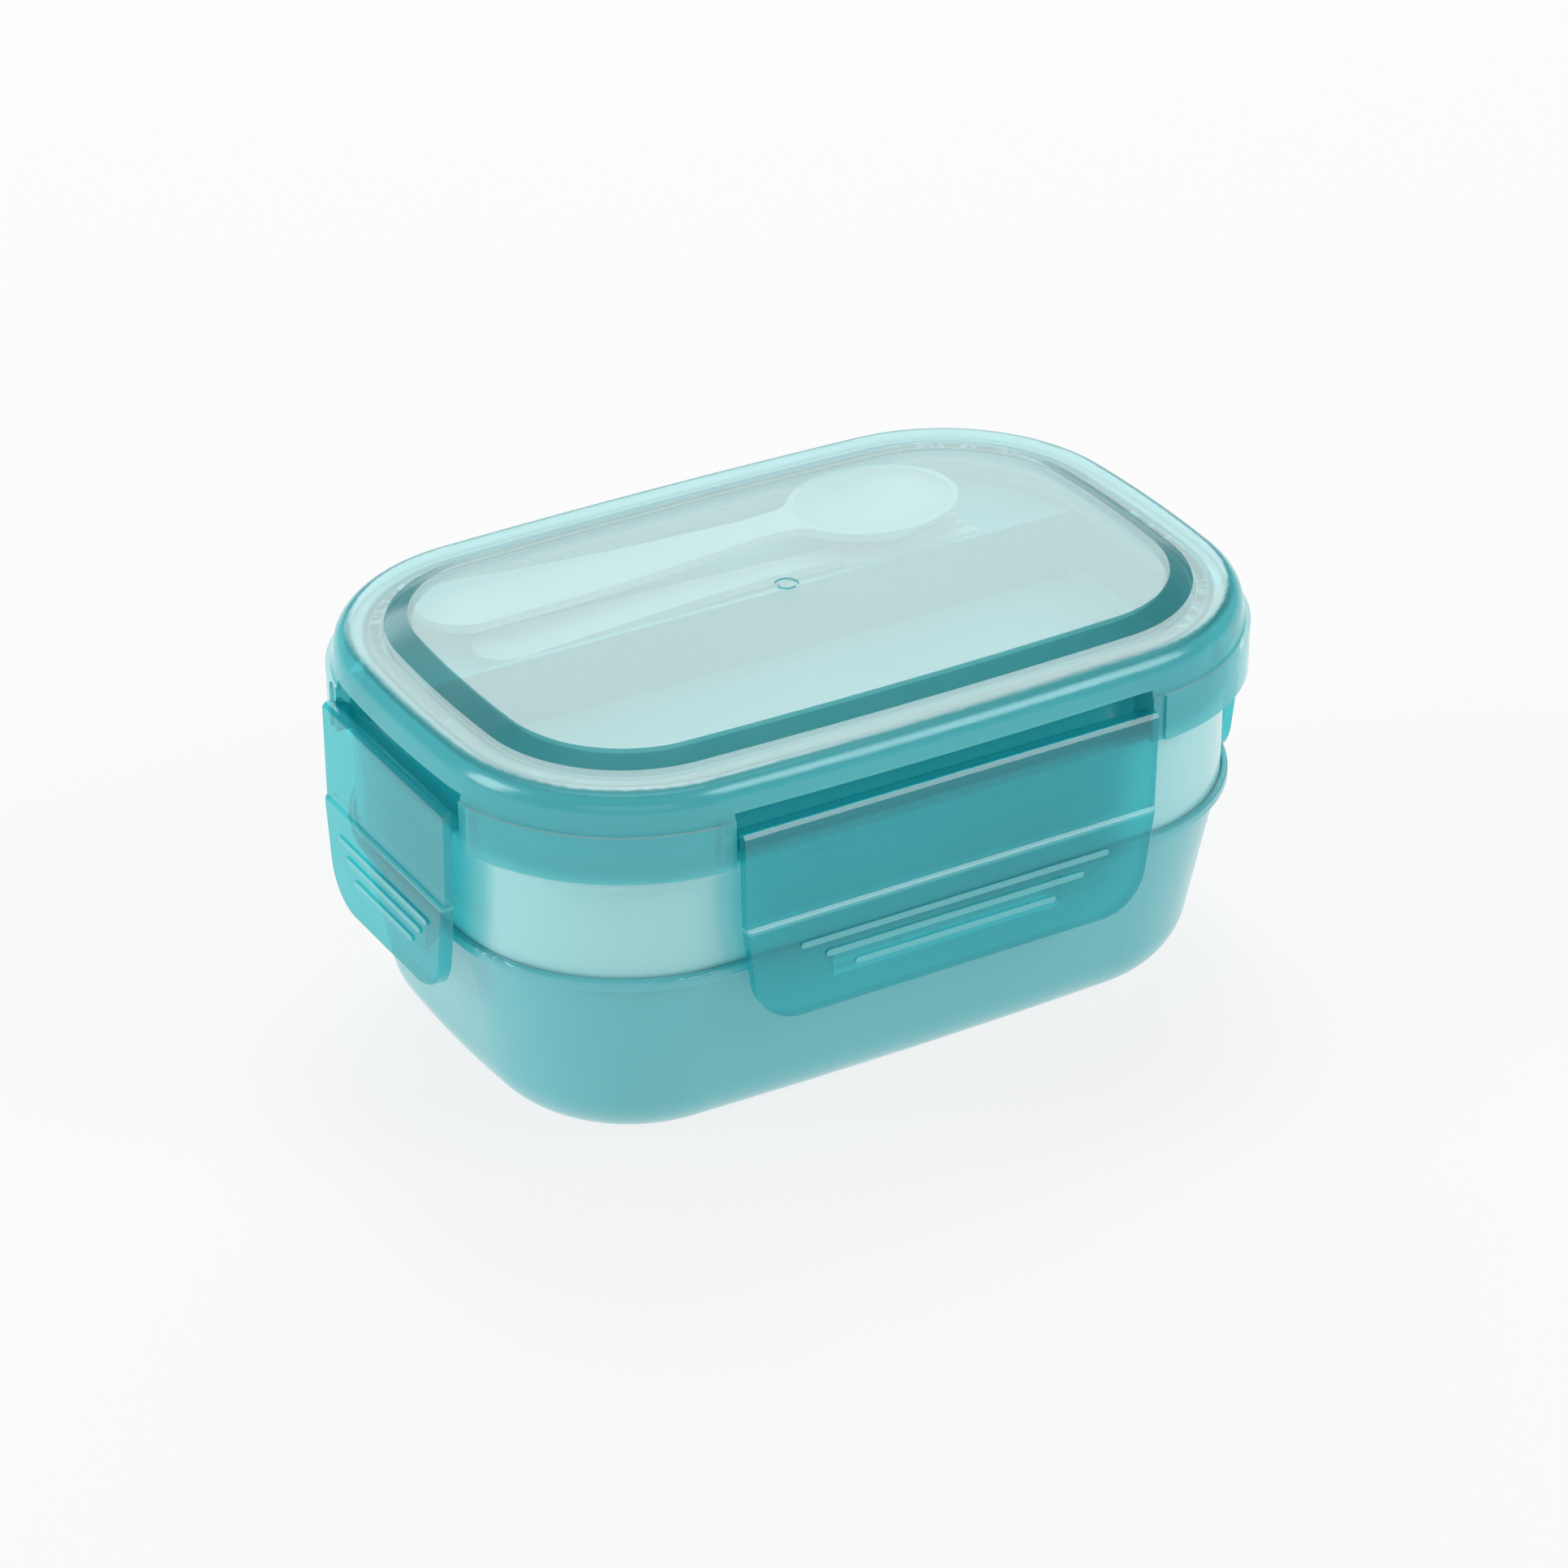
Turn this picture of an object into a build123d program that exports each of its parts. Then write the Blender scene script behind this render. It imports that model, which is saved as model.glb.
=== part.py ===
"""Two-tier lunch box: lower box, upper tray, cutlery tray, sealed lid, four side latches, spoon and fork.

Millimetres. The origin is on the surface that the box stands on, under its centre.
+X runs along the long side, -Y is the front with a long latch, +Z is up.
All outlines in plan are one bowed rounded rectangle, the lid's skirt, drawn smaller by an inset.
"""

from build123d import *
from math import radians, tan
import os

os.makedirs("parts", exist_ok=True)

# Plan outline of the lid's skirt: slightly bowed sides and large corner arcs.
HALF_X = 97.0
HALF_Y = 65.1
LONG_SIDE_R = 1380.0
SHORT_SIDE_R = 310.0
CORNER_R = 45.3

# Heights above the table.
BOX_RIM_Z = 46.6
SHELF_Z = 70.5
SKIRT_Z = 71.7
LEDGE_Z = 82.3
RING_Z = 91.0
TOP_Z = 93.3

# Lower box.
BOX_WALL = 1.8
BOX_FLOOR = 2.2
BOX_DRAFT = 10.9
BOX_BOTTOM_R = 15.2
BOX_WALL_INSET = 5.4
FLANGE_INSET = 3.4
FLANGE_DEPTH = 2.9
FLANGE_CHAMFER = 1.0
FLANGE_EDGE_R = 0.7
SEAT_INSET = 4.8
SEAT_DEPTH = 1.5
FOOT_WIDTH = 6.0
FOOT_DEPTH = 0.6

# Upper tray: a food cup, and an outer apron that stands on the lower box's rim.
APRON_INSET = 5.1
APRON_WALL = 1.6
BEAD_INSET = 4.2
BEAD_DEPTH = 2.8
BEAD_EDGE_R = 0.8
SHELF_THICK = 1.8
CUP_INSET = 9.6
CUP_WALL = 1.5
CUP_DRAFT = 3.0
CUP_BOTTOM_Z = 41.6
CUP_FLOOR = 1.8
CUP_BOTTOM_R = 9.0
CUP_RIM_Z = 85.2
CUP_RIM_R = 0.5
INSERT_LEDGE_Z = 82.2
INSERT_LEDGE = 1.0
DIVIDER_X = 24.0
DIVIDER_THICK = 1.5
DIVIDER_TOP_Z = 68.2
DIVIDER_SINK = 0.3

# Seals.
TRAY_SEAL_THICK = 1.2
TRAY_SEAL_INSET = 5.0
TRAY_SEAL_WIDTH = 1.9
LID_SEAL_INSET = 9.5
LID_SEAL_WIDTH = 2.1

# Cutlery tray, a shallow insert with a rear trough and a front recess.
INSERT_RIM_THICK = 1.7
INSERT_FLOOR = 1.4
INSERT_RIM_INSET = 11.4
INSERT_BODY_INSET = 12.6
INSERT_WALL = 1.4
INSERT_DRAFT = 6.0
INSERT_RIM_R = 0.6
RECESS_BOTTOM_R = 3.5
TROUGH_BOTTOM_R = 2.0
TROUGH_INNER_R = 1.2
TROUGH_FLOOR_Z = 81.4
RECESS_FLOOR_Z = 70.2
STEP_TOP_Y = 15.3
STEP_BOTTOM_Y = 12.0
RIDGE_X = -50.0
RIDGE_THICK = 3.0
RIDGE_HALF = 6.5
RIDGE_TOP_Z = 85.8
RIDGE_SINK = 0.5

# Lid.
SKIRT_WALL = 2.0
LEDGE_WIDTH = 1.0
SHOULDER_DRAFT = 10.0
SHOULDER_R = 5.0
LID_WALL = 2.0
PLATEAU_BASE_INSET = 12.7
PLATEAU_TOP_INSET = 17.8
PLATEAU_WALL = 1.7
PLATEAU_HOLLOW_BASE_INSET = 13.3
PLATEAU_HOLLOW_TOP_INSET = 18.6
INNER_WALL_INSET = 8.0
INNER_WALL = 1.3
LIP_INSET = 12.0
LIP_WALL = 1.0
LIP_DEPTH = 2.2
PLATEAU_EDGE_R = 0.5
GATE_MARK_Y = 2.0
GATE_MARK_R = 2.7
GATE_MARK_WIDTH = 0.8
GATE_MARK_DEPTH = 0.35

# Latches. Distances "out" are measured from the skirt's face at the middle of its side.
LONG_LATCH_HALF = 50.1
SHORT_LATCH_HALF = 27.4
LATCH_OUT = 1.2
LATCH_LOWER_OUT = 2.0
LATCH_IN = 0.9
LATCH_TOP_Z = 79.9
LATCH_CREASE_Z = 57.2
LATCH_BOTTOM_Z = 33.9
LATCH_TAPER = 8.0
LATCH_CORNER_R = 11.0
LATCH_END_GAP = 0.35
LATCH_TOP_CHAMFER = 0.8
LATCH_SIDE_STEP = 0.4
LATCH_EDGE_R = 0.7
AXIS_IN = 3.8
AXIS_Z = 77.3
BARREL_R = 1.5
TRUNNION_R = 1.05
TRUNNION_LENGTH = 2.6
SOCKET_CLEARANCE = 0.06
CHEEK_WIDTH = 4.0
CHEEK_RECESS = 0.6
CHEEK_RECESS_WIDTH = 3.0
POCKET_TOP_Z = 83.9
HOOK_REACH = 4.6
HOOK_GAP = 0.28
HOOK_DEPTH = 4.4
HOOK_TIP_RUN = 0.3
HOOK_TIP_DROP = 0.8
RIB_R = 0.7
RIB_PROUD = 0.45
SINK = 0.2

# Cutlery.
CUTLERY_THICK = 2.0
BOWL_X = 40.5
BOWL_Y = 33.2
BOWL_HALF_X = 20.0
BOWL_HALF_Y = 16.2
BOWL_DEPTH = 5.4
BOWL_RIM_Z = 89.5
BOWL_WALL = 1.5
SPOON_END_X = -59.0
SPOON_END_Y = 38.5
SPOON_END_R = 10.5
SPOON_NECK_X = 10.0
SPOON_NECK_HALF = 4.4
SPOON_SHOULDER_R = 6.5
SPOON_END_TOP_Z = 88.0
FORK_Y = 24.6
FORK_Z = 81.5
FORK_TIP_X = 58.0
FORK_HEAD_X = 26.0
FORK_END_X = -56.0
FORK_HALF = 7.2
FORK_NECK_X = 8.0
FORK_NECK_HALF = 3.2
FORK_TINE_X = 36.0
FORK_SLOT = 1.7
FORK_TINES = 4
FORK_TIP_R = 0.8


def plan(inset):
    """The plan outline, drawn inset inside the lid's skirt."""
    with BuildSketch(mode=Mode.PRIVATE) as outline:
        with Locations((0, HALF_Y - LONG_SIDE_R)):
            Circle(LONG_SIDE_R - inset)
        with Locations((0, LONG_SIDE_R - HALF_Y)):
            Circle(LONG_SIDE_R - inset, mode=Mode.INTERSECT)
        with Locations((HALF_X - SHORT_SIDE_R, 0)):
            Circle(SHORT_SIDE_R - inset, mode=Mode.INTERSECT)
        with Locations((SHORT_SIDE_R - HALF_X, 0)):
            Circle(SHORT_SIDE_R - inset, mode=Mode.INTERSECT)
        fillet(outline.vertices(), CORNER_R - inset)
    return outline.sketch


def slab(bottom, top, inset, mode=Mode.ADD):
    """Adds the plan outline to the open part, or cuts it away, from bottom to top."""
    with BuildSketch(Plane.XY.offset(bottom)) as profile:
        add(plan(inset))
    extrude(profile.sketch, amount=top - bottom, mode=mode)


def wall(bottom, top, inset, thickness, mode=Mode.ADD):
    """Adds an upright wall that follows the plan outline, or cuts that space away."""
    with BuildSketch(Plane.XY.offset(bottom)) as profile:
        add(plan(inset))
        add(plan(inset + thickness), mode=Mode.SUBTRACT)
    extrude(profile.sketch, amount=top - bottom, mode=mode)


def leaning(bottom, top, bottom_inset, top_inset):
    """A solid form with straight sides that lean from one inset of the outline to another."""
    with BuildPart(mode=Mode.PRIVATE) as form:
        with BuildSketch(Plane.XY.offset(bottom)) as low:
            add(plan(bottom_inset))
        with BuildSketch(Plane.XY.offset(top)) as high:
            add(plan(top_inset))
        loft([low.sketch, high.sketch], ruled=True)
    return form.part


def tub(bottom, top, top_inset, draft, bottom_r):
    """A solid vessel form: its sides lean in downwards by draft and its bottom edge is rounded."""
    lean = (top - bottom) * tan(radians(draft))
    with BuildPart(mode=Mode.PRIVATE) as form:
        add(leaning(bottom, top, top_inset + lean, top_inset))
        fillet(form.faces().sort_by(Axis.Z)[0].edges(), bottom_r)
    return form.part


def dome(bottom, top, inset, draft, edge_r):
    """A solid cap form: its sides lean in upwards by draft and its top edge is rounded."""
    lean = (top - bottom) * tan(radians(draft))
    with BuildPart(mode=Mode.PRIVATE) as form:
        add(leaning(bottom, top, inset, inset + lean))
        fillet(form.faces().sort_by(Axis.Z)[-1].edges(), edge_r)
    return form.part


# name, turn about +Z from the front, skirt face's distance from the centre, half length
LATCHES = (
    ("latch_front", 0, HALF_Y, LONG_LATCH_HALF),
    ("latch_right", 90, HALF_X, SHORT_LATCH_HALF),
    ("latch_back", 180, HALF_Y, LONG_LATCH_HALF),
    ("latch_left", 270, HALF_X, SHORT_LATCH_HALF),
)


def section_plane(turn):
    """Across a latch: local x points out of the box and local y up."""
    side = Plane.XY.rotated((0, 0, turn))
    return Plane(origin=(0, 0, 0), x_dir=-side.y_dir, z_dir=-side.x_dir)


def front_plane(turn, out):
    """Facing a latch from outside: local x runs along it and local y up."""
    side = Plane.XY.rotated((0, 0, turn))
    return Plane(origin=-side.y_dir * out, x_dir=side.x_dir, z_dir=-side.y_dir)


# ---------------------------------------------------------------- lower box
box_form = tub(0, BOX_RIM_Z, BOX_WALL_INSET - FLANGE_DEPTH * tan(radians(BOX_DRAFT)), BOX_DRAFT, BOX_BOTTOM_R)
hollow_inset = BOX_WALL_INSET + BOX_WALL - FLANGE_DEPTH * tan(radians(BOX_DRAFT))
box_hollow = tub(BOX_FLOOR, BOX_RIM_Z, hollow_inset, BOX_DRAFT, BOX_BOTTOM_R - BOX_WALL)
flange_bottom_z = BOX_RIM_Z - FLANGE_DEPTH
seat_z = BOX_RIM_Z - SEAT_DEPTH
foot_inset = BOX_WALL_INSET + flange_bottom_z * tan(radians(BOX_DRAFT)) + BOX_BOTTOM_R

with BuildPart() as lower_box:
    add(box_form)
    slab(flange_bottom_z, BOX_RIM_Z, FLANGE_INSET)
    fillet(lower_box.edges().group_by(Axis.Z)[-1], FLANGE_EDGE_R)
    under_flange = lower_box.faces().filter_by(Axis.Z).filter_by(
        lambda face: abs(face.center().Z - flange_bottom_z) < 0.01
    )
    chamfer(under_flange[0].outer_wire().edges(), FLANGE_CHAMFER)
    add(box_hollow, mode=Mode.SUBTRACT)
    slab(seat_z, BOX_RIM_Z, SEAT_INSET, mode=Mode.SUBTRACT)
    slab(0, FOOT_DEPTH, foot_inset + FOOT_WIDTH, mode=Mode.SUBTRACT)
lower_box.part.label = "lower_box"
export_step(lower_box.part, "parts/lower_box.step")

# ---------------------------------------------------------------- upper tray
apron_bottom_z = seat_z + TRAY_SEAL_THICK
cup_mouth_inset = CUP_INSET + CUP_WALL + INSERT_LEDGE
cup_form = tub(CUP_BOTTOM_Z, SHELF_Z, CUP_INSET, CUP_DRAFT, CUP_BOTTOM_R)
cup_hollow = tub(CUP_BOTTOM_Z + CUP_FLOOR, SHELF_Z, cup_mouth_inset, CUP_DRAFT, CUP_BOTTOM_R - CUP_WALL)

with BuildPart() as upper_tray:
    add(cup_form)
    slab(SHELF_Z, CUP_RIM_Z, CUP_INSET)
    fillet(upper_tray.edges().group_by(Axis.Z)[-1], CUP_RIM_R)
    wall(SHELF_Z - SHELF_THICK, SHELF_Z, APRON_INSET, CUP_INSET + CUP_WALL - APRON_INSET)
    wall(apron_bottom_z, SHELF_Z, APRON_INSET, APRON_WALL)
    with BuildSketch(Plane.XY.offset(SHELF_Z - BEAD_DEPTH)):
        add(plan(BEAD_INSET))
        add(plan(APRON_INSET + APRON_WALL / 2), mode=Mode.SUBTRACT)
    extrude(amount=BEAD_DEPTH)
    bead_face = upper_tray.faces().filter_by(Axis.Z).filter_by(
        lambda face: abs(face.center().Z - SHELF_Z) < 0.01
    )
    fillet(bead_face[0].outer_wire().edges(), BEAD_EDGE_R)
    bead_bottom = upper_tray.faces().filter_by(Axis.Z).filter_by(
        lambda face: abs(face.center().Z - SHELF_Z + BEAD_DEPTH) < 0.01
    )
    fillet(bead_bottom[0].outer_wire().edges(), BEAD_EDGE_R)
    add(cup_hollow, mode=Mode.SUBTRACT)
    slab(SHELF_Z, INSERT_LEDGE_Z, cup_mouth_inset, mode=Mode.SUBTRACT)
    slab(INSERT_LEDGE_Z, CUP_RIM_Z, CUP_INSET + CUP_WALL, mode=Mode.SUBTRACT)
    with BuildSketch(Plane.XY.offset(CUP_BOTTOM_Z + CUP_FLOOR / 2)):
        with Locations((DIVIDER_X, 0)):
            Rectangle(DIVIDER_THICK, 2 * HALF_Y)
        add(plan(cup_mouth_inset - DIVIDER_SINK), mode=Mode.INTERSECT)
    extrude(amount=DIVIDER_TOP_Z - CUP_BOTTOM_Z - CUP_FLOOR / 2, mode=Mode.ADD)
upper_tray.part.label = "upper_tray"
export_step(upper_tray.part, "parts/upper_tray.step")

with BuildPart() as tray_seal:
    wall(seat_z, apron_bottom_z, TRAY_SEAL_INSET, TRAY_SEAL_WIDTH)
tray_seal.part.label = "tray_seal"
export_step(tray_seal.part, "parts/tray_seal.step")

# ---------------------------------------------------------------- cutlery tray
insert_top_z = INSERT_LEDGE_Z + INSERT_RIM_THICK
recess_bottom_z = RECESS_FLOOR_Z - INSERT_FLOOR
inner_inset = INSERT_BODY_INSET + INSERT_WALL

with BuildPart() as recess_form:
    add(tub(recess_bottom_z, insert_top_z, INSERT_BODY_INSET, INSERT_DRAFT, RECESS_BOTTOM_R))
    with BuildSketch(Plane.YZ):
        Polygon(
            (-HALF_Y, recess_bottom_z - 1),
            (STEP_BOTTOM_Y + INSERT_WALL, recess_bottom_z - 1),
            (STEP_TOP_Y + INSERT_WALL, insert_top_z),
            (-HALF_Y, insert_top_z),
            align=None,
        )
    extrude(amount=HALF_X, both=True, mode=Mode.INTERSECT)

with BuildPart() as recess_hollow:
    add(tub(RECESS_FLOOR_Z, insert_top_z, inner_inset, INSERT_DRAFT, RECESS_BOTTOM_R - 1))
    with BuildSketch(Plane.YZ):
        Polygon(
            (-HALF_Y, RECESS_FLOOR_Z - 1),
            (STEP_BOTTOM_Y, RECESS_FLOOR_Z - 1),
            (STEP_TOP_Y, insert_top_z),
            (-HALF_Y, insert_top_z),
            align=None,
        )
    extrude(amount=HALF_X, both=True, mode=Mode.INTERSECT)

with BuildPart() as trough_hollow:
    add(tub(TROUGH_FLOOR_Z, insert_top_z, inner_inset, INSERT_DRAFT, TROUGH_INNER_R))
    with BuildSketch(Plane.XY.offset(TROUGH_FLOOR_Z - 1)):
        with Locations((0, STEP_TOP_Y + INSERT_WALL)):
            Rectangle(2 * HALF_X, HALF_Y, align=(Align.CENTER, Align.MIN))
    extrude(amount=insert_top_z - TROUGH_FLOOR_Z + 1, mode=Mode.INTERSECT)

with BuildPart() as cutlery_tray:
    add(recess_form.part)
    add(tub(TROUGH_FLOOR_Z - INSERT_FLOOR, insert_top_z, INSERT_BODY_INSET, INSERT_DRAFT, TROUGH_BOTTOM_R))
    slab(INSERT_LEDGE_Z, insert_top_z, INSERT_RIM_INSET)
    fillet(cutlery_tray.edges().group_by(Axis.Z)[-1], INSERT_RIM_R)
    add(recess_hollow.part, mode=Mode.SUBTRACT)
    add(trough_hollow.part, mode=Mode.SUBTRACT)
    with Locations((RIDGE_X, SPOON_END_Y, TROUGH_FLOOR_Z - RIDGE_SINK)):
        Box(
            RIDGE_THICK,
            2 * RIDGE_HALF,
            RIDGE_TOP_Z - TROUGH_FLOOR_Z + RIDGE_SINK,
            align=(Align.CENTER, Align.CENTER, Align.MIN),
        )
cutlery_tray.part.label = "cutlery_tray"
export_step(cutlery_tray.part, "parts/cutlery_tray.step")

# ---------------------------------------------------------------- lid and its seal
ring_under_z = RING_Z - LID_WALL
inner_wall_bottom_z = SHELF_Z + 0.2

with BuildPart() as lid:
    slab(SKIRT_Z, LEDGE_Z, 0)
    add(dome(LEDGE_Z, RING_Z, LEDGE_WIDTH, SHOULDER_DRAFT, SHOULDER_R))
    add(leaning(RING_Z, TOP_Z, PLATEAU_BASE_INSET, PLATEAU_TOP_INSET))
    fillet(lid.edges().group_by(Axis.Z)[-1], PLATEAU_EDGE_R)
    # The moulding gate leaves a small round groove in the middle of the plateau.
    with BuildSketch(Plane.XY.offset(TOP_Z - GATE_MARK_DEPTH)) as gate_mark:
        with Locations((0, GATE_MARK_Y)):
            Circle(GATE_MARK_R)
            Circle(GATE_MARK_R - GATE_MARK_WIDTH, mode=Mode.SUBTRACT)
    extrude(gate_mark.sketch, amount=GATE_MARK_DEPTH + 1, mode=Mode.SUBTRACT)
    slab(SKIRT_Z, LEDGE_Z - 1, SKIRT_WALL, mode=Mode.SUBTRACT)
    add(
        dome(LEDGE_Z - 1, ring_under_z, LEDGE_WIDTH + SKIRT_WALL, SHOULDER_DRAFT, SHOULDER_R - LID_WALL),
        mode=Mode.SUBTRACT,
    )
    add(
        leaning(ring_under_z, TOP_Z - PLATEAU_WALL, PLATEAU_HOLLOW_BASE_INSET, PLATEAU_HOLLOW_TOP_INSET),
        mode=Mode.SUBTRACT,
    )
    wall(inner_wall_bottom_z, ring_under_z + 0.5, INNER_WALL_INSET, INNER_WALL)
    wall(ring_under_z - LIP_DEPTH, ring_under_z + 0.5, LIP_INSET, LIP_WALL)

    for name, turn, reach, half in LATCHES:
        side = Plane.XY.rotated((0, 0, turn))
        pocket_half = half + LATCH_END_GAP
        # The skirt opens over the latch, as far in as the inner wall.
        with BuildSketch(side.offset(SKIRT_Z - 1)) as pocket:
            with Locations((0, -reach)):
                Rectangle(2 * pocket_half, 4 * INNER_WALL_INSET)
            add(plan(INNER_WALL_INSET).rotate(Axis.Z, -turn), mode=Mode.SUBTRACT)
        extrude(pocket.sketch, amount=POCKET_TOP_Z - SKIRT_Z + 1, mode=Mode.SUBTRACT)
        # Cheeks at the pocket's ends carry the latch's trunnions.
        with BuildSketch(side.offset(SKIRT_Z)) as cheeks:
            with Locations((pocket_half, -reach), (-pocket_half - CHEEK_WIDTH, -reach)):
                Rectangle(CHEEK_WIDTH, 4 * INNER_WALL_INSET, align=(Align.MIN, Align.CENTER))
            add(plan(CHEEK_RECESS / 2).rotate(Axis.Z, -turn), mode=Mode.INTERSECT)
            add(plan(INNER_WALL_INSET + 0.3).rotate(Axis.Z, -turn), mode=Mode.SUBTRACT)
        extrude(cheeks.sketch, amount=LEDGE_Z - SKIRT_Z)
        with BuildSketch(side.offset(SKIRT_Z - 1)) as recess:
            with Locations((0, -reach)):
                Rectangle(2 * (pocket_half + CHEEK_RECESS_WIDTH), 4 * INNER_WALL_INSET)
            add(plan(CHEEK_RECESS).rotate(Axis.Z, -turn), mode=Mode.SUBTRACT)
        extrude(recess.sketch, amount=LEDGE_Z - SKIRT_Z + 1, mode=Mode.SUBTRACT)
        with BuildSketch(section_plane(turn)) as socket:
            with Locations((reach - AXIS_IN, AXIS_Z)):
                Circle(TRUNNION_R + SOCKET_CLEARANCE)
        extrude(
            socket.sketch,
            amount=pocket_half + TRUNNION_LENGTH,
            both=True,
            mode=Mode.SUBTRACT,
        )
lid.part.label = "lid"
export_step(lid.part, "parts/lid.step")

with BuildPart() as lid_seal:
    wall(CUP_RIM_Z, ring_under_z, LID_SEAL_INSET, LID_SEAL_WIDTH)
lid_seal.part.label = "lid_seal"
export_step(lid_seal.part, "parts/lid_seal.step")

# ---------------------------------------------------------------- latches
HOOK_HALVES = {LONG_LATCH_HALF: 28.0, SHORT_LATCH_HALF: 13.0}
# height of each finger rib, and its share of the latch's half length
RIBS = ((51.0, 0.75), (47.4, 0.63), (43.5, 0.49))


def latch_outline(turn, half):
    """The latch seen from outside: straight above the crease, tapered and rounded below it."""
    taper = (LATCH_CREASE_Z - LATCH_BOTTOM_Z) * tan(radians(LATCH_TAPER))
    lower_half = half - LATCH_SIDE_STEP
    with BuildSketch(front_plane(turn, 0), mode=Mode.PRIVATE) as outline:
        Polygon(
            (-half, LATCH_TOP_Z),
            (-lower_half, LATCH_CREASE_Z),
            (taper - lower_half, LATCH_BOTTOM_Z),
            (lower_half - taper, LATCH_BOTTOM_Z),
            (lower_half, LATCH_CREASE_Z),
            (half, LATCH_TOP_Z),
            align=None,
        )
        fillet(outline.vertices().group_by(Axis.Y)[0], LATCH_CORNER_R)
    return outline.sketch


def latch(name, turn, reach, half):
    """One latch: a plate with hinge barrel, trunnions, hook and finger ribs."""
    face = reach + LATCH_OUT
    lower_face = reach + LATCH_LOWER_OUT
    back = reach - LATCH_IN
    axis_x = reach - AXIS_IN
    across = section_plane(turn)
    with BuildPart() as piece:
        with BuildSketch(across) as plate:
            Polygon(
                (back, LATCH_BOTTOM_Z),
                (lower_face, LATCH_BOTTOM_Z),
                (lower_face, LATCH_CREASE_Z),
                (face, LATCH_CREASE_Z + LATCH_LOWER_OUT - LATCH_OUT),
                (face, LATCH_TOP_Z - LATCH_TOP_CHAMFER),
                (face - LATCH_TOP_CHAMFER, LATCH_TOP_Z),
                (back, LATCH_TOP_Z),
                align=None,
            )
        extrude(plate.sketch, amount=half, both=True)
        extrude(latch_outline(turn, half), amount=2 * HALF_X, mode=Mode.INTERSECT)
        lower_panel = piece.faces().sort_by(Axis((0, 0, 0), across.x_dir))[-1]
        fillet(lower_panel.outer_wire().edges(), LATCH_EDGE_R)
        with BuildSketch(across) as arm:
            Polygon(
                (back + SINK, LATCH_TOP_Z),
                (axis_x, AXIS_Z + BARREL_R),
                (axis_x, AXIS_Z - BARREL_R),
                (back + SINK, AXIS_Z - BARREL_R - 1),
                align=None,
            )
            with Locations((axis_x, AXIS_Z)):
                Circle(BARREL_R)
        extrude(arm.sketch, amount=half - LATCH_SIDE_STEP, both=True)
        with BuildSketch(across) as trunnion:
            with Locations((axis_x, AXIS_Z)):
                Circle(TRUNNION_R)
        extrude(trunnion.sketch, amount=half + TRUNNION_LENGTH, both=True)
        # The hook's upper side is a 45 degree ramp, parallel to the chamfer under the box's flange.
        ramp_z = flange_bottom_z + FLANGE_CHAMFER + FLANGE_INSET - HOOK_GAP
        tip_x = reach - HOOK_REACH
        with BuildSketch(across) as hook:
            Polygon(
                (back + SINK, ramp_z - LATCH_IN + SINK),
                (tip_x, ramp_z - HOOK_REACH),
                (tip_x + HOOK_TIP_RUN, ramp_z - HOOK_REACH - HOOK_TIP_DROP),
                (back + SINK, ramp_z - HOOK_REACH - HOOK_DEPTH + SINK),
                align=None,
            )
        extrude(hook.sketch, amount=HOOK_HALVES[half], both=True)
        for rib_z, share in RIBS:
            with BuildSketch(front_plane(turn, lower_face - SINK)) as rib:
                with Locations((0, rib_z)):
                    SlotOverall(2 * share * half, 2 * RIB_R)
            extrude(rib.sketch, amount=RIB_PROUD + SINK)
    piece.part.label = name
    export_step(piece.part, f"parts/{name}.step")


for latch_row in LATCHES:
    latch(*latch_row)

# ---------------------------------------------------------------- spoon
slope = (BOWL_Y - SPOON_END_Y) / (BOWL_X - SPOON_END_X)
neck_y = SPOON_END_Y + slope * (SPOON_NECK_X - SPOON_END_X)

bowl_place = Pos(BOWL_X, BOWL_Y, BOWL_RIM_Z)
bowl_outer = bowl_place * scale(Sphere(1), by=(BOWL_HALF_X, BOWL_HALF_Y, BOWL_DEPTH))
bowl_inner = bowl_place * scale(
    Sphere(1), by=(BOWL_HALF_X - BOWL_WALL, BOWL_HALF_Y - BOWL_WALL, BOWL_DEPTH - BOWL_WALL)
)
bowl_shell = split(bowl_outer, bisect_by=Plane.XY.offset(BOWL_RIM_Z), keep=Keep.BOTTOM) - bowl_inner

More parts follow.
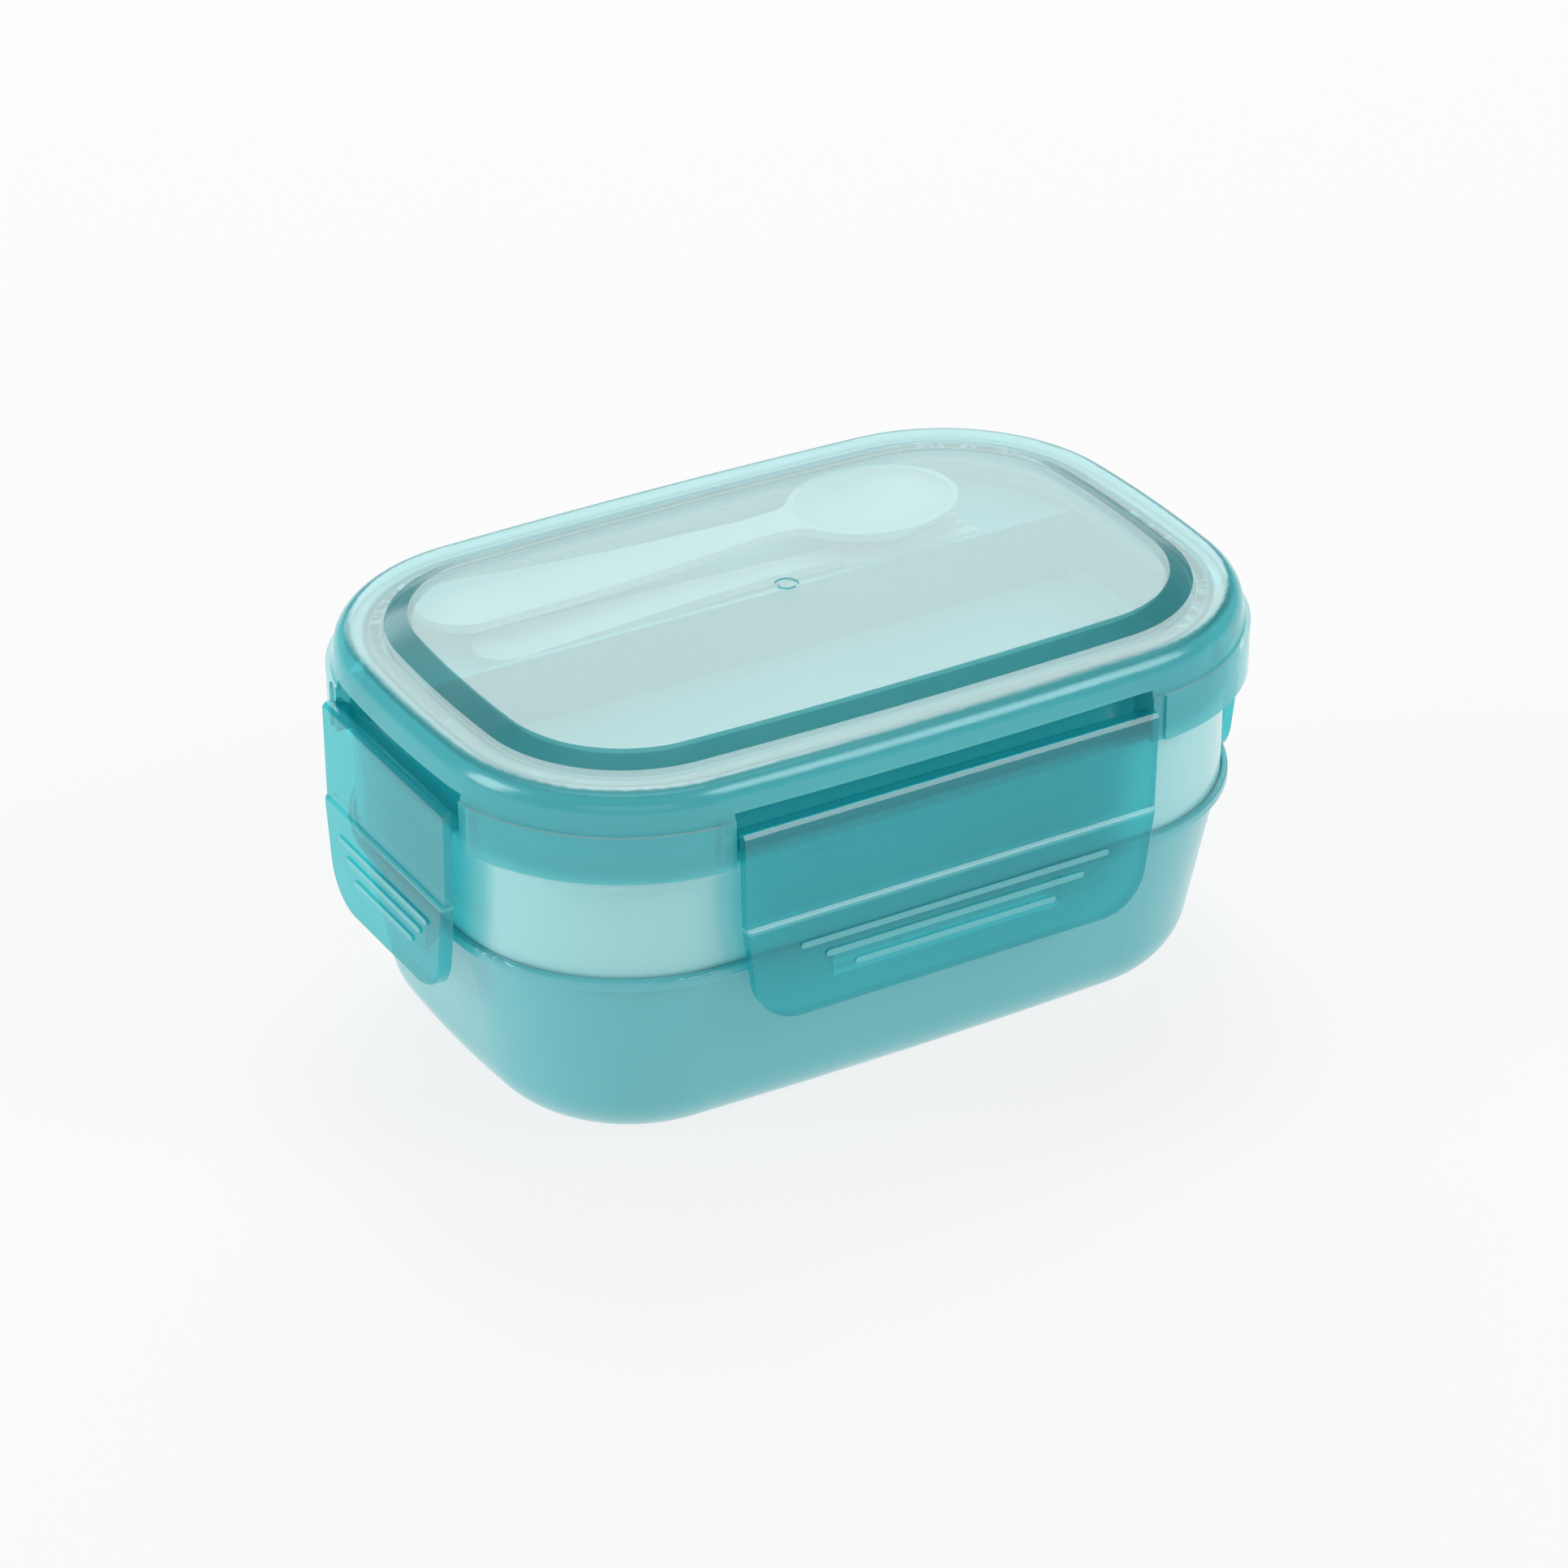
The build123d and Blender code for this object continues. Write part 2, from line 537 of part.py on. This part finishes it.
with BuildPart() as spoon:
    # Handle and shoulders: the plan outline, cut from a gently rising sheet.
    with BuildSketch(Plane.XY.offset(BOWL_RIM_Z - 8)) as spoon_plan:
        with BuildSketch(mode=Mode.PRIVATE) as handle:
            with Locations((SPOON_END_X, SPOON_END_Y)):
                Circle(SPOON_END_R)
            with Locations((SPOON_NECK_X, neck_y)):
                Circle(SPOON_NECK_HALF)
            make_hull()
        with BuildSketch(mode=Mode.PRIVATE) as neck:
            with Locations((SPOON_NECK_X, neck_y)):
                Circle(SPOON_NECK_HALF)
            with Locations((BOWL_X, BOWL_Y)):
                Circle(SPOON_NECK_HALF + 2)
            make_hull()
        add(handle.sketch)
        add(neck.sketch)
        with Locations((BOWL_X, BOWL_Y)):
            Ellipse(BOWL_HALF_X, BOWL_HALF_Y)
        shoulders = [v for v in spoon_plan.vertices() if SPOON_NECK_X + 5 < v.X < BOWL_X - 5]
        fillet(shoulders, SPOON_SHOULDER_R)
    extrude(amount=10)
    with BuildSketch(Plane.XZ):
        with BuildLine():
            top = Spline(
                (-HALF_X, SPOON_END_TOP_Z),
                (SPOON_END_X, SPOON_END_TOP_Z),
                (-20, SPOON_END_TOP_Z),
                (BOWL_X - BOWL_HALF_X, BOWL_RIM_Z),
                (BOWL_X, BOWL_RIM_Z),
            )
            bottom = top.moved(Location((0, -CUTLERY_THICK)))
            Line(top @ 0, bottom @ 0)
            Line(top @ 1, bottom @ 1)
            add(bottom)
        make_face()
    extrude(amount=HALF_Y, both=True, mode=Mode.INTERSECT)
    add(bowl_inner, mode=Mode.SUBTRACT)
    add(bowl_shell)
spoon.part.label = "spoon"
export_step(spoon.part, "parts/spoon.step")

# ---------------------------------------------------------------- fork
with BuildPart() as fork:
    with BuildSketch(Plane.XY.offset(FORK_Z - 1)) as fork_plan:
        with BuildSketch(mode=Mode.PRIVATE) as fork_handle:
            with Locations((FORK_END_X, FORK_Y)):
                Circle(FORK_HALF)
            with Locations((FORK_NECK_X, FORK_Y)):
                Circle(FORK_NECK_HALF)
            make_hull()
        add(fork_handle.sketch)
        with Locations((FORK_NECK_X, FORK_Y)):
            Rectangle(
                FORK_HEAD_X - FORK_NECK_X + 2,
                2 * FORK_NECK_HALF,
                align=(Align.MIN, Align.CENTER),
            )
        with Locations((FORK_HEAD_X, FORK_Y)):
            Rectangle(FORK_TIP_X - FORK_HEAD_X, 2 * FORK_HALF, align=(Align.MIN, Align.CENTER))
        head_back = fork_plan.vertices().filter_by(
            lambda v: abs(v.X - FORK_HEAD_X) < 0.01 and abs(v.Y - FORK_Y) > FORK_HALF - 0.1
        )
        fillet(head_back, FORK_HALF - FORK_NECK_HALF - 0.2)
        with Locations((FORK_TINE_X, FORK_Y)):
            with GridLocations(0, 2 * FORK_HALF / FORK_TINES, 1, FORK_TINES - 1):
                SlotOverall(
                    2 * (FORK_TIP_X - FORK_TINE_X),
                    FORK_SLOT,
                    align=(Align.MIN, Align.CENTER),
                    mode=Mode.SUBTRACT,
                )
        fillet(fork_plan.vertices().group_by(Axis.X)[-1], FORK_TIP_R)
    extrude(amount=6)
    with BuildSketch(Plane.XZ):
        with BuildLine():
            fork_low = Spline(
                (-HALF_X, FORK_Z + 0.2),
                (FORK_END_X, FORK_Z + 0.1),
                (FORK_NECK_X, FORK_Z + 0.6),
                (FORK_TINE_X, FORK_Z + 0.1),
                (FORK_TIP_X + 4, FORK_Z + 1.2),
            )
            fork_high = fork_low.moved(Location((0, CUTLERY_THICK)))
            Line(fork_low @ 0, fork_high @ 0)
            Line(fork_low @ 1, fork_high @ 1)
            add(fork_high)
        make_face()
    extrude(amount=HALF_Y, both=True, mode=Mode.INTERSECT)
fork.part.label = "fork"
export_step(fork.part, "parts/fork.step")
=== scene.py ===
"""Looks of the two-tier lunch box: plastics, silicone, floor, lights and camera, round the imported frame."""

import math

import bpy
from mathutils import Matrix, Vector


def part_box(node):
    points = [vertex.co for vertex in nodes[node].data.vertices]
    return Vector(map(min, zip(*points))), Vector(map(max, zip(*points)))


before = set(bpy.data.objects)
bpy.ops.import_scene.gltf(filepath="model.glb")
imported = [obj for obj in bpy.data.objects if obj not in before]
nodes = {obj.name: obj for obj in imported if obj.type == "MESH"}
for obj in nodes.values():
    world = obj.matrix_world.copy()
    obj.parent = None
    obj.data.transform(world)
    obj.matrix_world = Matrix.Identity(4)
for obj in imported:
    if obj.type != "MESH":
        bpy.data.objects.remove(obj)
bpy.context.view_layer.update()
scene = bpy.context.scene

# ------------------------------------------------------------------ camera
CAMERA_AT = (-0.51547, -0.86819, 0.62334)
CAMERA_LOOKS_AT = (-0.00720, -0.00909, 0.05164)
LENS_MM = 123.0
SENSOR_MM = 36.0


def make_camera():
    data = bpy.data.cameras.new("camera")
    data.lens = LENS_MM
    data.sensor_width = SENSOR_MM
    data.clip_end = 20
    data.dof.use_dof = False
    camera = bpy.data.objects.new("camera", data)
    scene.collection.objects.link(camera)
    camera.location = CAMERA_AT
    sight = Vector(CAMERA_LOOKS_AT) - Vector(CAMERA_AT)
    camera.rotation_euler = sight.to_track_quat("-Z", "Y").to_euler()
    scene.camera = camera


# ------------------------------------------------------------------ node helpers
def linear(value):
    """Linear value of an 8-bit sRGB one."""
    value /= 255
    return value / 12.92 if value <= 0.04045 else ((value + 0.055) / 1.055) ** 2.4


def srgb(red, green, blue):
    return (linear(red), linear(green), linear(blue), 1)


def new_material(name):
    material = bpy.data.materials.new(name)
    material.use_nodes = True
    tree = material.node_tree
    return tree, tree.nodes["Principled BSDF"], material


def own_coordinates(tree):
    """The piece's own coordinates, so that its texture moves with it."""
    return tree.nodes.new("ShaderNodeTexCoord").outputs["Object"]


def noise(tree, scale, detail=3.0):
    node = tree.nodes.new("ShaderNodeTexNoise")
    node.inputs["Scale"].default_value = scale
    node.inputs["Detail"].default_value = detail
    tree.links.new(own_coordinates(tree), node.inputs["Vector"])
    return node.outputs["Fac"]


def remap(tree, value, source, target):
    """Maps a value from the source range to the target range, and stops it there."""
    node = tree.nodes.new("ShaderNodeMapRange")
    node.inputs["From Min"].default_value, node.inputs["From Max"].default_value = source
    node.inputs["To Min"].default_value, node.inputs["To Max"].default_value = target
    tree.links.new(value, node.inputs["Value"])
    return node.outputs["Result"]


def arithmetic(tree, operation, first, second):
    node = tree.nodes.new("ShaderNodeMath")
    node.operation = operation
    for socket, value in zip(node.inputs, (first, second)):
        if isinstance(value, (int, float)):
            socket.default_value = value
        else:
            tree.links.new(value, socket)
    return node.outputs["Value"]


def mix_colour(tree, factor, first, second):
    """Mixes two colours, each a plain colour or another node's output."""
    node = tree.nodes.new("ShaderNodeMix")
    node.data_type = "RGBA"
    tree.links.new(factor, node.inputs["Factor"])
    for name, colour in (("A", first), ("B", second)):
        socket = next(s for s in node.inputs if s.name == name and s.type == "RGBA")
        if isinstance(colour, tuple):
            socket.default_value = colour
        else:
            tree.links.new(colour, socket)
    return next(s for s in node.outputs if s.type == "RGBA")


def flatness(tree, steep, flat):
    """1 on faces more level than flat and 0 on those steeper than steep, by the piece's own normal."""
    normal = tree.nodes.new("ShaderNodeTexCoord").outputs["Normal"]
    split = tree.nodes.new("ShaderNodeSeparateXYZ")
    tree.links.new(normal, split.inputs["Vector"])
    return remap(tree, arithmetic(tree, "ABSOLUTE", split.outputs["Z"], 0), (steep, flat), (0, 1))


def moulded_skin(tree, roughness, spread, peel, peel_scale, shaders):
    """Moulding texture: uneven gloss and a faint unevenness of the surface."""
    patches = noise(tree, GLOSS_PATCHES, 4)
    gloss = remap(tree, patches, NOISE_RANGE, (roughness - spread, roughness + spread))
    bump = tree.nodes.new("ShaderNodeBump")
    bump.inputs["Strength"].default_value = peel
    bump.inputs["Distance"].default_value = PEEL_DEPTH
    tree.links.new(noise(tree, peel_scale, 1), bump.inputs["Height"])
    for shader in shaders:
        tree.links.new(gloss, shader.inputs["Roughness"])
        tree.links.new(bump.outputs["Normal"], shader.inputs["Normal"])


NOISE_RANGE = (0.35, 0.65)
CLOUDS = 9
GLOSS_PATCHES = 45
PEEL_DEPTH = 0.00003
FINE_PEEL = 420
SLOW_WAVES = 24
POLYPROPYLENE_IOR = 1.49


# ------------------------------------------------------------------ plastics
def opaque_plastic(name, colour, deeper, roughness, coat):
    """Solid-coloured plastic, slightly cloudy, under a thin gloss."""
    tree, shader, material = new_material(name)
    tone = mix_colour(tree, remap(tree, noise(tree, CLOUDS), NOISE_RANGE, (0, 1)), colour, deeper)
    tree.links.new(tone, shader.inputs["Base Color"])
    shader.inputs["IOR"].default_value = POLYPROPYLENE_IOR
    shader.inputs["Coat Weight"].default_value = coat
    shader.inputs["Coat Roughness"].default_value = 0.15
    moulded_skin(tree, roughness, 0.05, 0.02, FINE_PEEL, [shader])
    return material


def insert_colour_and_painted_shade():
    """Pale insert, with painted shade on its steep walls, which come out darker than its level floors and
    rims.
    """
    material = opaque_plastic("insert_pale", srgb(130, 200, 202), srgb(124, 196, 198), 0.45, 0.1)
    tree = material.node_tree
    base = tree.nodes["Principled BSDF"].inputs["Base Color"]
    pale = base.links[0].from_socket
    # The darker teal on steep walls is painted shade, standing for the shadow on those walls.
    tree.links.new(mix_colour(tree, flatness(tree, 0.3, 0.8), srgb(60, 148, 156), pale), base)
    return material


def mix_shader(tree, factor, first, second):
    node = tree.nodes.new("ShaderNodeMixShader")
    tree.links.new(factor, node.inputs["Fac"])
    tree.links.new(first, node.inputs[1])
    tree.links.new(second, node.inputs[2])
    return node.outputs["Shader"]


def translucent_plastic(name, looks, roughness):
    """Tinted polypropylene: light passes straight through its tint, and a part scatters in it."""
    tree, milk, material = new_material(name)
    scattered, tint, deep_tint, opacity = looks(tree)
    tree.links.new(scattered, milk.inputs["Base Color"])
    milk.inputs["Specular IOR Level"].default_value = 0.0
    gloss = tree.nodes.new("ShaderNodeBsdfGlossy")
    gloss.inputs["Color"].default_value = (1, 1, 1, 1)
    moulded_skin(tree, roughness, 0.03, 0.08, SLOW_WAVES, [milk, gloss])
    # A slanting way through the sheet is longer, so its tint is deeper, and it mirrors more.
    slant = tree.nodes.new("ShaderNodeLayerWeight")
    slant.inputs["Blend"].default_value = 0.5
    clear = tree.nodes.new("ShaderNodeBsdfTransparent")
    tree.links.new(mix_colour(tree, slant.outputs["Facing"], tint, deep_tint), clear.inputs["Color"])
    falloff = arithmetic(tree, "POWER", slant.outputs["Facing"], 5)
    mirrored = remap(tree, falloff, (0, 1), (0.05, 0.95))
    sheet = mix_shader(tree, opacity, clear.outputs["BSDF"], milk.outputs["BSDF"])
    surface = mix_shader(tree, mirrored, sheet, gloss.outputs["BSDF"])
    tree.links.new(surface, tree.nodes["Material Output"].inputs["Surface"])
    return material


LID_HALF_X = 0.097
LID_HALF_Y = 0.0651
LID_CORNER_R = 0.0453
WALL_OPACITY = 0.42


def lid_looks(tree):
    """Pale where level, which is the milky plastic and in part painted sheen, milkier on the outer ring than
    in the window, and deep teal on slopes and walls.
    """
    cloud = remap(tree, noise(tree, CLOUDS), NOISE_RANGE, (0, 1))
    sloped = flatness(tree, 0.78, 0.9)
    level = flatness(tree, 0.935, 0.985)
    walls = mix_colour(tree, cloud, srgb(106, 222, 229), srgb(100, 217, 225))
    slopes = mix_colour(tree, cloud, srgb(64, 160, 165), srgb(60, 155, 160))
    # The pale colour on level faces is the milky plastic and in part a painted sheen from the lamps above.
    pale = mix_colour(tree, cloud, srgb(196, 228, 228), srgb(191, 225, 225))
    scattered = mix_colour(tree, level, mix_colour(tree, sloped, walls, slopes), pale)
    tint = mix_colour(tree, level, (0.44, 0.88, 0.90, 1), (0.89, 0.98, 0.98, 1))
    deep_tint = mix_colour(tree, level, (0.14, 0.66, 0.69, 1), (0.79, 0.94, 0.945, 1))
    milk = remap(tree, plan_inset(tree), (0.009, 0.012), (0.44, 0.29))
    level_part = arithmetic(tree, "MULTIPLY", level, milk)
    opacity = arithmetic(tree, "ADD", level_part, remap(tree, level, (0, 1), (WALL_OPACITY, 0)))
    return scattered, tint, deep_tint, opacity


def plan_inset(tree):
    """How far a point lies inside the lid's outline from above, its bowed sides taken as straight."""
    split = tree.nodes.new("ShaderNodeSeparateXYZ")
    tree.links.new(own_coordinates(tree), split.inputs["Vector"])
    squares = []
    for axis, half in (("X", LID_HALF_X), ("Y", LID_HALF_Y)):
        distance = arithmetic(tree, "ABSOLUTE", split.outputs[axis], 0)
        past_centre = arithmetic(tree, "SUBTRACT", distance, half - LID_CORNER_R)
        past_centre = arithmetic(tree, "MAXIMUM", past_centre, 0)
        squares.append(arithmetic(tree, "MULTIPLY", past_centre, past_centre))
    reach = arithmetic(tree, "POWER", arithmetic(tree, "ADD", *squares), 0.5)
    return arithmetic(tree, "SUBTRACT", LID_CORNER_R, reach)


LATCH_FOLD_Z = 0.0572


def rib_top_highlight(tree):
    """1 on the tops of the finger ribs, which stand proudest of all, where a highlight is painted, and 0
    elsewhere on a latch.
    """
    split = tree.nodes.new("ShaderNodeSeparateXYZ")
    tree.links.new(own_coordinates(tree), split.inputs["Vector"])
    low, high = frame_corners("latch_front", "latch_left")
    beyond_side = arithmetic(tree, "ADD", arithmetic(tree, "ABSOLUTE", split.outputs["X"], 0), low[0])
    beyond_front = arithmetic(tree, "ADD", arithmetic(tree, "ABSOLUTE", split.outputs["Y"], 0), low[1])
    proud = arithmetic(tree, "MAXIMUM", beyond_side, beyond_front)
    return remap(tree, proud, (-0.0004, -0.0001), (0, 1))


def crease_highlight(tree):
    """1 along the fold of a latch, where a highlight is painted, and 0 elsewhere."""
    split = tree.nodes.new("ShaderNodeSeparateXYZ")
    tree.links.new(own_coordinates(tree), split.inputs["Vector"])
    off_fold = arithmetic(tree, "ABSOLUTE", arithmetic(tree, "SUBTRACT", split.outputs["Z"], LATCH_FOLD_Z), 0)
    return remap(tree, off_fold, (0.0003, 0.0007), (0.8, 0))


def frame_corners(*names):
    """Lowest and highest corners of a few CAD nodes together."""
    boxes = [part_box(name) for name in names]
    low = [min(box[0][axis] for box in boxes) for axis in range(3)]
    high = [max(box[1][axis] for box in boxes) for axis in range(3)]
    return low, high


def latch_looks(tree):
    """Clear teal, a little milky, with painted highlights on the rib tops and along the fold."""
    cloud = remap(tree, noise(tree, CLOUDS), NOISE_RANGE, (0, 1))
    # pale marks where highlights are painted on the rib tops and along the fold.
    pale = arithmetic(tree, "MAXIMUM", rib_top_highlight(tree), crease_highlight(tree))
    sheet = mix_colour(tree, cloud, srgb(60, 214, 224), srgb(52, 208, 218))
    scattered = mix_colour(tree, pale, sheet, srgb(134, 222, 226))
    tint = mix_colour(tree, cloud, (0.34, 0.88, 0.90, 1), (0.31, 0.86, 0.88, 1))
    deep_tint = mix_colour(tree, cloud, (0.13, 0.70, 0.73, 1), (0.12, 0.68, 0.71, 1))
    return scattered, tint, deep_tint, remap(tree, pale, (0, 1), (0.14, 0.5))


def dress(name, material):
    """Gives a CAD node its finished material."""
    slots = nodes[name].data.materials
    slots.clear()
    slots.append(material)
    for face in nodes[name].data.polygons:
        face.material_index = 0


make_camera()

box_plastic = opaque_plastic("box_teal", srgb(98, 190, 197), srgb(93, 186, 193), 0.3, 0.5)
tray_plastic = opaque_plastic("tray_pale_teal", srgb(164, 224, 227), srgb(159, 220, 224), 0.28, 0.6)
insert_plastic = insert_colour_and_painted_shade()
cutlery_plastic = opaque_plastic("cutlery_white", srgb(220, 223, 218), srgb(214, 218, 213), 0.35, 0.1)
silicone = opaque_plastic("silicone_milky", srgb(205, 232, 231), srgb(196, 226, 225), 0.55, 0.0)
lid_plastic = translucent_plastic("lid_teal", lid_looks, 0.2)
latch_plastic = translucent_plastic("latch_teal", latch_looks, 0.08)

FINISHES = {
    "lower_box": box_plastic,
    "upper_tray": tray_plastic,
    "cutlery_tray": insert_plastic,
    "spoon": cutlery_plastic,
    "fork": cutlery_plastic,
    "tray_seal": silicone,
    "lid_seal": silicone,
    "lid": lid_plastic,
    "latch_front": latch_plastic,
    "latch_back": latch_plastic,
    "latch_left": latch_plastic,
    "latch_right": latch_plastic,
}
for node_name, finish in FINISHES.items():
    dress(node_name, finish)


# ------------------------------------------------------------------ studio
PAPER_WHITE = linear(248)
PAPER_GLOW = 0.86
MIDDLE = (0, 0, 0.05)


def make_floor():
    """A pale sheet that glows a little, so that it stays even to its far edge."""
    size = 6.0
    mesh = bpy.data.meshes.new("floor")
    corners = [(-size, -size, 0), (size, -size, 0), (size, size, 0), (-size, size, 0)]
    mesh.from_pydata(corners, [], [(0, 1, 2, 3)])
    floor = bpy.data.objects.new("floor", mesh)
    scene.collection.objects.link(floor)
    tree, shader, material = new_material("floor_paper")
    shade = 1 - PAPER_GLOW
    tone = mix_colour(tree, noise(tree, 3), (shade, shade, shade, 1), (shade, shade, shade * 0.99, 1))
    tree.links.new(tone, shader.inputs["Base Color"])
    shader.inputs["Roughness"].default_value = 1.0
    shader.inputs["Specular IOR Level"].default_value = 0.0
    shader.inputs["Emission Color"].default_value = (1, 1, 1, 1)
    shader.inputs["Emission Strength"].default_value = PAPER_WHITE * PAPER_GLOW
    mesh.materials.append(material)


def area_light(name, at, size, radiance):
    """A softbox of a given size in metres and brightness, aimed at the middle of the box."""
    data = bpy.data.lights.new(name, "AREA")
    data.shape = "RECTANGLE"
    data.size, data.size_y = size
    data.energy = radiance * math.pi * size[0] * size[1]
    light = bpy.data.objects.new(name, data)
    scene.collection.objects.link(light)
    light.location = at
    light.rotation_euler = (Vector(MIDDLE) - Vector(at)).to_track_quat("-Z", "Y").to_euler()


def make_studio():
    world = bpy.data.worlds.new("studio")
    world.use_nodes = True
    background = world.node_tree.nodes["Background"]
    background.inputs["Color"].default_value = (1, 1, 1, 1)
    background.inputs["Strength"].default_value = 0.3
    scene.world = world
    area_light("back", (0.8, 1.7, 1.15), (2.2, 1.2), 2.2)
    area_light("top", (0.5, 0.9, 1.9), (0.9, 0.8), 7.0)
    area_light("left", (-1.7, 0.5, 0.8), (0.7, 1.1), 6.0)
    area_light("front", (1.0, -1.15, 1.25), (1.1, 0.85), 4.5)
    area_light("fill", (-1.0, -2.0, 0.9), (2.2, 0.8), 0.7)


make_floor()
make_studio()
scene.view_settings.view_transform = "Standard"
